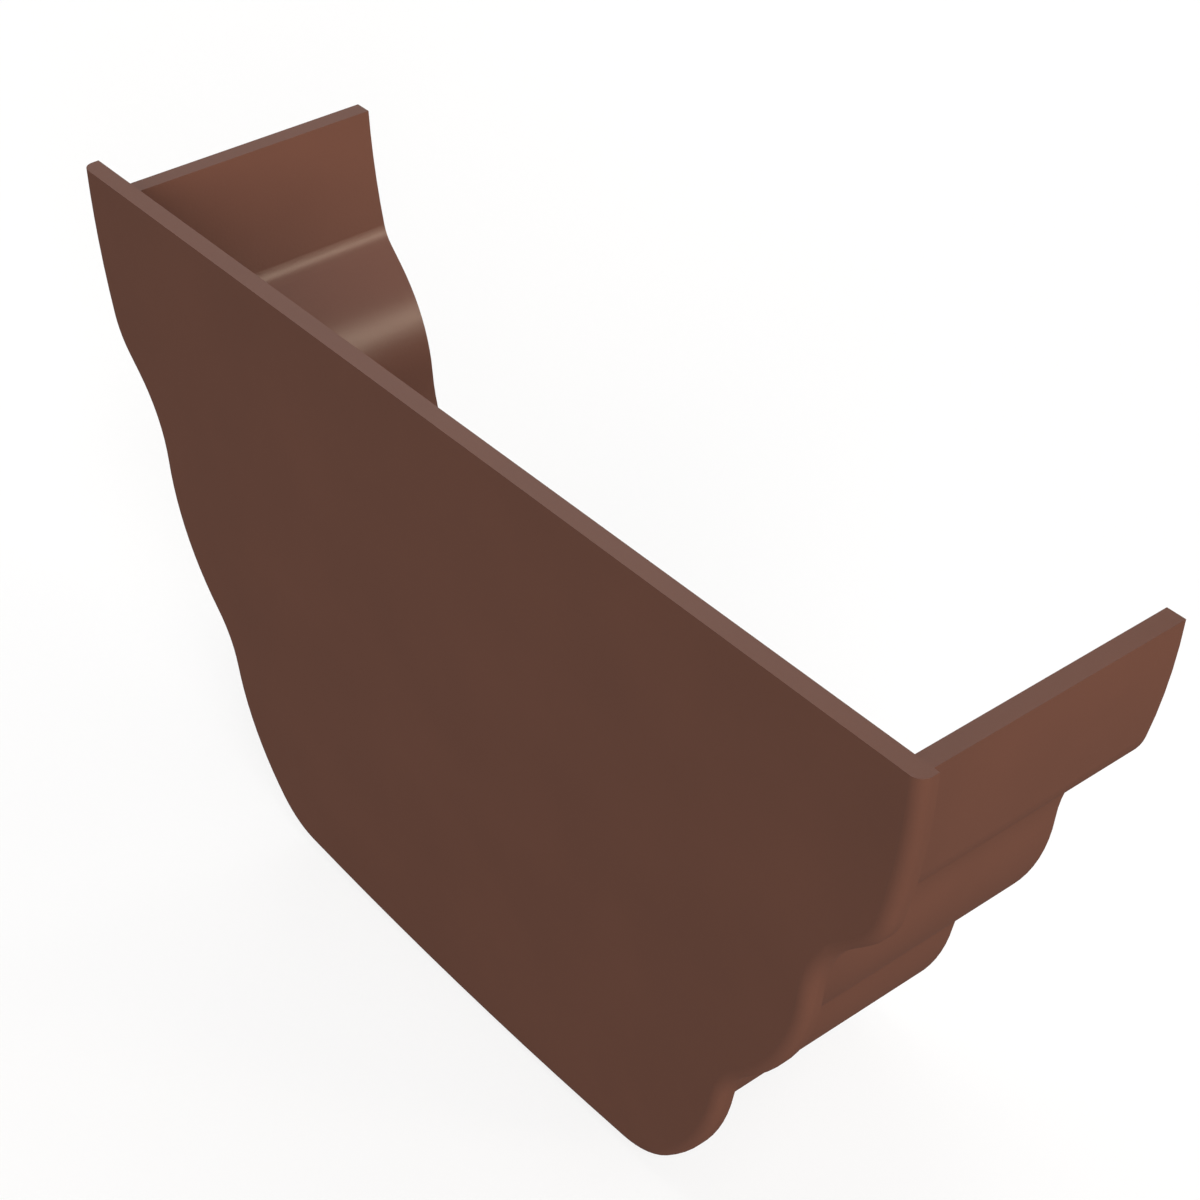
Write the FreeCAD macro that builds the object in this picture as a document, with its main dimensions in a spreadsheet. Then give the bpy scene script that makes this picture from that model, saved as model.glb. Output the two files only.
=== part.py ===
import FreeCAD, Part
import Sketcher
import math
import os

# End cap of a figured plastic gutter, moulded in one piece. A flat plate closes the gutter's end. A
# spigot with the gutter's own section stands on the plate's back and slides into the gutter, whose
# end then butts against the rim that the plate leaves round the spigot.
# Millimetres. X runs along the plate, Y from the plate into the gutter and Z up. The origin is the
# centre of the underside of the bounding box.

# Driving dimensions. The radii and the slope's length are those of the spigot's outer face. An angle
# is the outline's lean from the vertical, towards the middle of the gutter.
SIZES = {
    "plate_width": 150.0,
    "plate_thickness": 2.4,
    "edge_radius": 1.5,
    "rim_width": 2.9,
    "spigot_length": 37.7,
    "spigot_wall": 2.5,
    "top_step": 2.9,
    "lip_radius": 86.0,
    "lip_angle": 13.3,
    "shoulder_radius": 7.8,
    "slope_angle": 45.0,
    "slope_length": 3.0,
    "cove_radius": 19.5,
    "waist_angle": 3.3,
    "belly_radius": 28.0,
    "neck_radius": 15.8,
    "neck_angle": 9.0,
    "bowl_radius": 30.0,
    "heel_radius": 8.7,
    "floor_radius": 470.0,
}

# The moulding's arcs from the top edge down to the middle, with the dimensions that hold each one's
# lean at its upper and its lower end. The lip starts upright, level with its own centre, the heel runs
# into the floor wherever the two meet, and the floor ends level.
ARCS = {
    "lip": (None, "lip_angle"),
    "shoulder": ("lip_angle", "slope_angle"),
    "cove": ("slope_angle", "waist_angle"),
    "belly": ("waist_angle", "slope_angle"),
    "neck": ("slope_angle", "neck_angle"),
    "bowl": ("neck_angle", "slope_angle"),
    "heel": ("slope_angle", None),
    "floor": (None, None),
}
HOLLOWS = ("cove", "neck")
# The slope is a short straight flank between the shoulder and the cove.
OUTLINE = ["lip", "shoulder", "slope", "cove", "belly", "neck", "bowl", "heel", "floor"]

UPRIGHT = 0.0
LEVEL = 90.0

# Numbers by which a sketch knows the points of a curve, and its own origin.
START, END, CENTRE = range(1, 4)
ORIGIN = (-1, START)

TOLERANCE = 1e-4

doc = FreeCAD.newDocument("gutter_end_cap")
sheet = doc.addObject("Spreadsheet::Sheet", "Sizes")
for row, (alias, number) in enumerate(SIZES.items(), start=1):
    sheet.set(f"A{row}", alias)
    sheet.set(f"B{row}", str(number))
    sheet.setAlias(f"B{row}", alias)
doc.recompute()

body = doc.addObject("PartDesign::Body", "end_cap")
body.Label = "end_cap"


def size(alias):
    return float(sheet.get(alias))


def origin_plane(role):
    return next(plane for plane in body.Origin.OriginFeatures if plane.Role == role)


def outwards(lean):
    """Unit vector square to the outline where it has this lean, away from the gutter's inside."""
    angle = math.radians(lean)
    return FreeCAD.Vector(math.cos(angle), -math.sin(angle), 0)


def downwards(lean):
    """Unit vector along the outline where it has this lean, towards the middle of the floor."""
    angle = math.radians(lean)
    return FreeCAD.Vector(-math.sin(angle), -math.cos(angle), 0)


def bulge(name):
    """1 for an arc that bulges outwards and -1 for a hollow."""
    return -1 if name in HOLLOWS else 1


def lay_out_moulding():
    """Each arc's centre, upper lean and lower lean, which outlines that run parallel share."""
    laid = {}
    point = FreeCAD.Vector(size("plate_width") / 2 - size("rim_width"), 0, 0)
    upper = UPRIGHT
    for name, (_, below) in ARCS.items():
        radius = size(f"{name}_radius")
        centre = point - outwards(upper) * bulge(name) * radius
        if name == "heel":
            lower = math.degrees(math.acos(centre.x / (size("floor_radius") - radius)))
        elif name == "floor":
            lower = LEVEL
        else:
            lower = size(below)
        laid[name] = (centre, upper, lower)
        point = centre + outwards(lower) * bulge(name) * radius
        if name == "shoulder":
            point = point + downwards(lower) * size("slope_length")
        upper = lower
    raised = FreeCAD.Vector(0, size("rim_width") - point.y, 0)
    return {name: (centre + raised, upper, lower) for name, (centre, upper, lower) in laid.items()}


moulding = lay_out_moulding()


def drive(sketch, kind, *where, by):
    """Adds a dimension to a sketch, bound to an expression of the sheet's sizes."""
    value = sketch.evalExpression(by)
    if kind == "Angle":
        value = math.radians(value)
    index = sketch.addConstraint(Sketcher.Constraint(kind, *where, value))
    sketch.setExpression(f"Constraints[{index}]", by)


def join(sketch, kind, first, second):
    sketch.addConstraint(Sketcher.Constraint(kind, *first, *second))


def draw_arc(sketch, side, centre, radius, upper, lower):
    """An arc of the outline: its number, its upper point and its lower point."""
    top, middle, bottom = (
        centre + outwards(lean) * side * radius for lean in (upper, (upper + lower) / 2, lower)
    )
    arc = sketch.addGeometry(Part.Arc(top, middle, bottom), False)
    if sketch.getPoint(arc, START).isEqual(top, TOLERANCE):
        return arc, (arc, START), (arc, END)
    return arc, (arc, END), (arc, START)


def draw_line(sketch, start, end):
    """A straight line between two points: its own points there."""
    line = sketch.addGeometry(Part.LineSegment(start, end), False)
    return line, (line, START), (line, END)


def draw_slope(sketch, top):
    """The short straight flank, down from a point of the outline."""
    bottom = top + downwards(size("slope_angle")) * size("slope_length")
    slope, foot, head = draw_line(sketch, bottom, top)
    drive(sketch, "Distance", slope, by="Sizes.slope_length")
    drive(sketch, "Angle", slope, by="90 - Sizes.slope_angle")
    return slope, head, foot


def draw_moulding(sketch, offset, top_step=None):
    """Half of the moulding, parallel to the spigot's outer face at an offset outwards from it.

    It starts level with the lip's centre or a step below it, and gives its points at the top edge and
    in the middle of the floor.
    """
    shift = sketch.evalExpression(offset)
    drawn = {}
    for name, (above, below) in ARCS.items():
        side = bulge(name)
        centre, upper, lower = moulding[name]
        radius = size(f"{name}_radius") + side * shift
        if name == "lip" and top_step:
            upper = math.degrees(math.asin(sketch.evalExpression(top_step) / radius))
        arc, top, bottom = draw_arc(sketch, side, centre, radius, upper, lower)
        drive(sketch, "Radius", arc, by=f"Sizes.{name}_radius + {side} * ({offset})")
        if above and below:
            drive(sketch, "Angle", arc, by=f"abs(Sizes.{above} - Sizes.{below})")
        drawn[name] = (arc, top, bottom)
    shoulder_bottom = drawn["shoulder"][2]
    drawn["slope"] = draw_slope(sketch, sketch.getPoint(*shoulder_bottom))
    for higher, lower in zip(OUTLINE, OUTLINE[1:]):
        join(sketch, "Tangent", drawn[higher][2], drawn[lower][1])

    lip, top_point, _ = drawn["lip"]
    lip_centre = (lip, CENTRE)
    lip_side = "Sizes.plate_width / 2 - Sizes.rim_width - Sizes.lip_radius"
    drive(sketch, "DistanceX", *ORIGIN, *lip_centre, by=lip_side)
    if top_step:
        drive(sketch, "DistanceY", *top_point, *lip_centre, by=top_step)
    else:
        join(sketch, "Horizontal", top_point, lip_centre)

    floor, _, middle_point = drawn["floor"]
    floor_centre = (floor, CENTRE)
    join(sketch, "Vertical", ORIGIN, floor_centre)
    join(sketch, "Vertical", ORIGIN, middle_point)
    drive(sketch, "DistanceY", *ORIGIN, *floor_centre, by="Sizes.floor_radius + Sizes.rim_width")
    return top_point, middle_point


def close_with_line(sketch, first, last):
    """A straight line from one end of the outline to another."""
    _, start, end = draw_line(sketch, sketch.getPoint(*first), sketch.getPoint(*last))
    join(sketch, "Coincident", start, first)
    join(sketch, "Coincident", end, last)


def new_sketch(name, depth=None):
    """A sketch parallel to the plate, on its front face or at a depth behind it."""
    sketch = body.newObject("Sketcher::SketchObject", name)
    sketch.AttachmentSupport = (origin_plane("XZ_Plane"), [""])
    sketch.MapMode = "FlatFace"
    if depth:
        sketch.setExpression("AttachmentOffset.Base.z", f"-{depth}")
    return sketch


def pad(name, sketch, length):
    """Half of a form, raised from its sketch towards the gutter."""
    feature = body.newObject("PartDesign::Pad", name)
    feature.Profile = sketch
    feature.Reversed = True
    feature.setExpression("Length", length)
    doc.recompute()
    return feature


# The plate's outline runs parallel to the spigot and stands out past it by the rim.
plate_sketch = new_sketch("PlateSection")
rim_top, rim_bottom = draw_moulding(plate_sketch, "Sizes.rim_width")
corner = plate_sketch.getPoint(*rim_top)
top_edge, top_middle, top_corner = draw_line(plate_sketch, FreeCAD.Vector(0, corner.y, 0), corner)
join(plate_sketch, "Coincident", top_corner, rim_top)
plate_sketch.addConstraint(Sketcher.Constraint("Horizontal", top_edge))
join(plate_sketch, "Vertical", ORIGIN, top_middle)
close_with_line(plate_sketch, top_middle, rim_bottom)
plate = pad("Plate", plate_sketch, "Sizes.plate_thickness")

# The spigot is a wall of even thickness, open at the top, on the plate's back.
spigot_sketch = new_sketch("SpigotSection", "Sizes.plate_thickness")
outer_top, outer_bottom = draw_moulding(spigot_sketch, "0", "Sizes.top_step")
inner_top, inner_bottom = draw_moulding(spigot_sketch, "-Sizes.spigot_wall", "Sizes.top_step")
close_with_line(spigot_sketch, outer_top, inner_top)
close_with_line(spigot_sketch, inner_bottom, outer_bottom)
spigot = pad("Spigot", spigot_sketch, "Sizes.spigot_length")

halves = body.newObject("PartDesign::Mirrored", "BothHalves")
halves.Originals = [plate, spigot]
halves.MirrorPlane = (origin_plane("YZ_Plane"), [""])
body.Tip = halves
doc.recompute()


def front_outline(shape):
    """Names of the edges of the plate's front face, all but its straight top edge."""
    top = shape.BoundBox.ZMax
    names = []
    for number, edge in enumerate(shape.Edges, start=1):
        box = edge.BoundBox
        if box.YMax < TOLERANCE and box.ZMin < top - TOLERANCE:
            names.append(f"Edge{number}")
    return names


# The moulding is eased all round the plate's front face, and its top edge stays square.
eased = body.newObject("PartDesign::Fillet", "EasedEdge")
eased.Base = (halves, front_outline(halves.Shape))
eased.setExpression("Radius", "Sizes.edge_radius")
body.Tip = eased

# The plate's front face stands half of the whole depth in front of the origin.
body.setExpression("Placement.Base.y", "-(Sizes.plate_thickness + Sizes.spigot_length) / 2")
doc.recompute()

for item in doc.Objects:
    if "Invalid" in item.State or "Error" in item.State:
        raise RuntimeError(f"{item.Name} could not be worked out")
for sketch in (plate_sketch, spigot_sketch):
    if not sketch.FullyConstrained:
        raise RuntimeError(f"{sketch.Name} is not fully constrained")
if body.Shape.isNull() or not body.Shape.isValid():
    raise RuntimeError("the end cap has no valid shape")

os.makedirs("parts", exist_ok=True)
body.Shape.exportStep(f"parts/{body.Label}.step")
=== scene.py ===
import math

import bpy
from mathutils import Euler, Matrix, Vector

# End cap of a figured plastic gutter, injection-moulded in one piece of brown plastic. The packed
# model gives the moulding its shape. This script gives it its finish and sets it on a pale floor in
# soft studio light. Metres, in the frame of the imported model: X along the plate, Y from the plate
# into the gutter, Z up.

# Camera, solved from the photograph's outlines. It stands at the plate's right, high in front of it.
CAMERA_PLACE = (0.186549, -0.147501, 0.238629)
CAMERA_PITCH = 37.798
CAMERA_YAW = 50.991
LENS = 74.904
SENSOR = 36.0
NEAREST_SEEN = 0.01
FARTHEST_SEEN = 20.0

# Colours are linear.
WHITE = (1.0, 1.0, 1.0, 1.0)
WARM_WHITE = (1.0, 0.84, 0.66, 1.0)
DARK_GREY = (0.18, 0.18, 0.18, 1.0)
# The plastic's darkest patches, its plain colour and its palest patches.
BROWNS = (
    (0.108, 0.0410, 0.0243, 1.0),
    (0.113, 0.0430, 0.0255, 1.0),
    (0.118, 0.0450, 0.0268, 1.0),
)
HALFWAY = 0.5

# The moulding's skin is a faint gloss over a matt body. Its high index keeps the gloss nearly the same
# from every side, so that faces seen edge on don't turn pale.
SKIN_GLOSS = 0.06
SKIN_IOR = 4.0
SKIN_ROUGHNESS = 0.32
BODY_ROUGHNESS = (0.36, 0.44)

# Marks in the plastic: how many there are to the metre, and how many finer layers they carry.
PATCHES = (55.0, 3.0)
SHEEN_PATCHES = (140.0, 4.0)
WAVES = (120.0, 1.0)
GRAIN = (2600.0, 3.0)
# Heights of the marks that stand in relief.
WAVE_HEIGHT = 0.00006
GRAIN_HEIGHT = 0.000012
# The range that holds nearly all of a noise.
NOISE_RANGE = (0.25, 0.75)

FLOOR_RADIUS = 3.0
FLOOR_SIDES = 96
# Share of plain white in the floor as it is seen. The rest is white paint, which takes the shadow.
FLOOR_WHITENESS = 0.8

# Lamps like distant soft boxes: the side each shines from, its height, its width, all in degrees, its
# level and its colour. Side 0 is in front of the plate and 90 at its right. At level 1 a face turned
# to the lamp shows its colour as written.
LAMPS = {
    "overhead": (0, 90, 20, 0.14, WHITE),
    "front": (20, 12, 20, 0.235, WARM_WHITE),
    "right": (62, 17, 24, 0.79, WHITE),
    "high_right": (70, 46, 16, 0.20, WHITE),
    "back_right": (119, 14, 14, 0.31, WARM_WHITE),
    "high_back": (145, 45, 60, 0.21, WHITE),
    "back": (185, 12, 20, 0.45, WHITE),
    "back_left": (233, 31, 35, 0.22, WHITE),
    "left": (275, 10, 20, 0.45, WHITE),
}

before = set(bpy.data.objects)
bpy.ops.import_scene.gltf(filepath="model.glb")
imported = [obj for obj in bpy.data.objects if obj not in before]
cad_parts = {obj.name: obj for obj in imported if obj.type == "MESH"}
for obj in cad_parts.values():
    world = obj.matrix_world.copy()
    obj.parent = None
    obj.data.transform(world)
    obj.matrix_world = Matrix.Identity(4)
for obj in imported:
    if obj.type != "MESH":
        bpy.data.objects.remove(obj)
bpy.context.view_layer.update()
end_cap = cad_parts["end_cap"]


def new_material(name):
    """A material and its empty node tree."""
    material = bpy.data.materials.new(name)
    material.use_nodes = True
    tree = material.node_tree
    tree.nodes.clear()
    return material, tree


def add_node(tree, kind, **settings):
    """A node with its sockets and properties set by name."""
    node = tree.nodes.new(kind)
    for key, value in settings.items():
        if key in node.inputs:
            node.inputs[key].default_value = value
        else:
            setattr(node, key, value)
    return node


def show(tree, shader, output_kind="ShaderNodeOutputMaterial"):
    """Makes a shader the one that the tree puts out."""
    output = add_node(tree, output_kind)
    tree.links.new(shader, output.inputs["Surface"])


def noise(tree, place, marks):
    """Even noise for one kind of marks."""
    per_metre, layers = marks
    node = add_node(tree, "ShaderNodeTexNoise", Scale=per_metre, Detail=layers)
    tree.links.new(place, node.inputs["Vector"])
    return node.outputs["Fac"]


def spread(tree, value, low, high):
    """A noise spread out from a low to a high value."""
    least, most = NOISE_RANGE
    ends = {"From Min": least, "From Max": most, "To Min": low, "To Max": high}
    node = add_node(tree, "ShaderNodeMapRange", **ends)
    tree.links.new(value, node.inputs["Value"])
    return node.outputs["Result"]


def brown_patches(tree, place):
    """The plastic's colour, which wanders a little from place to place."""
    ramp = add_node(tree, "ShaderNodeValToRGB")
    stops = ramp.color_ramp.elements
    stops.new(HALFWAY)
    for stop, brown in zip(stops, BROWNS):
        stop.color = brown
    shade = spread(tree, noise(tree, place, PATCHES), 0.0, 1.0)
    tree.links.new(shade, ramp.inputs["Fac"])
    return ramp.outputs["Color"]


def relief(tree, place, marks, height, under=None):
    """Raised marks of a height in metres, on top of any others."""
    bump = add_node(tree, "ShaderNodeBump", Strength=1.0, Distance=height)
    tree.links.new(noise(tree, place, marks), bump.inputs["Height"])
    if under:
        tree.links.new(under, bump.inputs["Normal"])
    return bump.outputs["Normal"]


def moulded_plastic():
    """Smooth moulded brown plastic with a soft sheen."""
    material, tree = new_material("moulded_brown_plastic")
    place = add_node(tree, "ShaderNodeTexCoord").outputs["Object"]
    gloss = {
        "Specular IOR Level": 0.0,
        "Coat Weight": SKIN_GLOSS,
        "Coat IOR": SKIN_IOR,
        "Coat Roughness": SKIN_ROUGHNESS,
    }
    shader = add_node(tree, "ShaderNodeBsdfPrincipled", **gloss)
    tree.links.new(brown_patches(tree, place), shader.inputs["Base Color"])
    roughness = spread(tree, noise(tree, place, SHEEN_PATCHES), *BODY_ROUGHNESS)
    tree.links.new(roughness, shader.inputs["Roughness"])
    waves = relief(tree, place, WAVES, WAVE_HEIGHT)
    grain = relief(tree, place, GRAIN, GRAIN_HEIGHT, under=waves)
    for layer in ("Normal", "Coat Normal"):
        tree.links.new(grain, shader.inputs[layer])
    show(tree, shader.outputs["BSDF"])
    return material


def seen(tree):
    """1 for rays that show a thing, straight or in a reflection, and 0 for light that falls on it."""
    path = add_node(tree, "ShaderNodeLightPath")
    shown = path.outputs["Is Camera Ray"]
    for ray in ("Is Glossy Ray", "Is Transmission Ray"):
        either = add_node(tree, "ShaderNodeMath", operation="MAXIMUM")
        tree.links.new(shown, either.inputs[0])
        tree.links.new(path.outputs[ray], either.inputs[1])
        shown = either.outputs[0]
    return shown


def blend(tree, first, second):
    """A mix of two shaders, still to be given its share of the second."""
    mix = add_node(tree, "ShaderNodeMixShader")
    tree.links.new(first, mix.inputs[1])
    tree.links.new(second, mix.inputs[2])
    return mix


def floor_paint():
    """Plain floor, seen as white with a faint shadow, that throws only a little light back up."""
    material, tree = new_material("pale_floor")
    paint = add_node(tree, "ShaderNodeBsdfDiffuse", Color=WHITE).outputs["BSDF"]
    plain = add_node(tree, "ShaderNodeEmission", Color=WHITE, Strength=1.0).outputs["Emission"]
    look = blend(tree, paint, plain)
    look.inputs["Fac"].default_value = FLOOR_WHITENESS
    dim = add_node(tree, "ShaderNodeBsdfDiffuse", Color=DARK_GREY).outputs["BSDF"]
    floor = blend(tree, dim, look.outputs["Shader"])
    tree.links.new(seen(tree), floor.inputs["Fac"])
    show(tree, floor.outputs["Shader"])
    return material


def lay_floor():
    """A wide round floor under the end cap."""
    bpy.ops.mesh.primitive_circle_add(vertices=FLOOR_SIDES, radius=FLOOR_RADIUS, fill_type="NGON")
    floor = bpy.context.object
    floor.name = "floor"
    floor.data.materials.append(floor_paint())


def hang_lamp(name, side, height, width, level, colour):
    """A distant lamp that shines on the object from one side and height."""
    turn = math.radians(side)
    rise = math.radians(height)
    light = bpy.data.lights.new(name, "SUN")
    light.energy = level * math.pi
    light.angle = math.radians(width)
    light.color = colour[:3]
    lamp = bpy.data.objects.new(name, light)
    across = math.cos(rise)
    place = Vector((math.sin(turn) * across, -math.cos(turn) * across, math.sin(rise)))
    lamp.location = place
    lamp.rotation_euler = place.to_track_quat("Z", "Y").to_euler()
    bpy.context.scene.collection.objects.link(lamp)


def light_world():
    """A world that shows white and, beyond that, gives no light of its own."""
    world = bpy.data.worlds.new("studio")
    bpy.context.scene.world = world
    world.use_nodes = True
    tree = world.node_tree
    tree.nodes.clear()
    background = add_node(tree, "ShaderNodeBackground", Color=WHITE)
    tree.links.new(seen(tree), background.inputs["Strength"])
    show(tree, background.outputs["Background"], "ShaderNodeOutputWorld")


def place_camera():
    """The camera at the photograph's place, turned down by its pitch and round by its yaw."""
    data = bpy.data.cameras.new("camera")
    data.sensor_width = SENSOR
    data.lens = LENS
    data.clip_start = NEAREST_SEEN
    data.clip_end = FARTHEST_SEEN
    camera = bpy.data.objects.new("camera", data)
    camera.location = CAMERA_PLACE
    camera.rotation_euler = Euler((math.radians(90.0 - CAMERA_PITCH), 0.0, math.radians(CAMERA_YAW)))
    bpy.context.scene.collection.objects.link(camera)
    bpy.context.scene.camera = camera


place_camera()
lay_floor()
light_world()
for lamp_name, settings in LAMPS.items():
    hang_lamp(lamp_name, *settings)

end_cap.data.materials.clear()
end_cap.data.materials.append(moulded_plastic())

bpy.context.scene.view_settings.view_transform = "Standard"
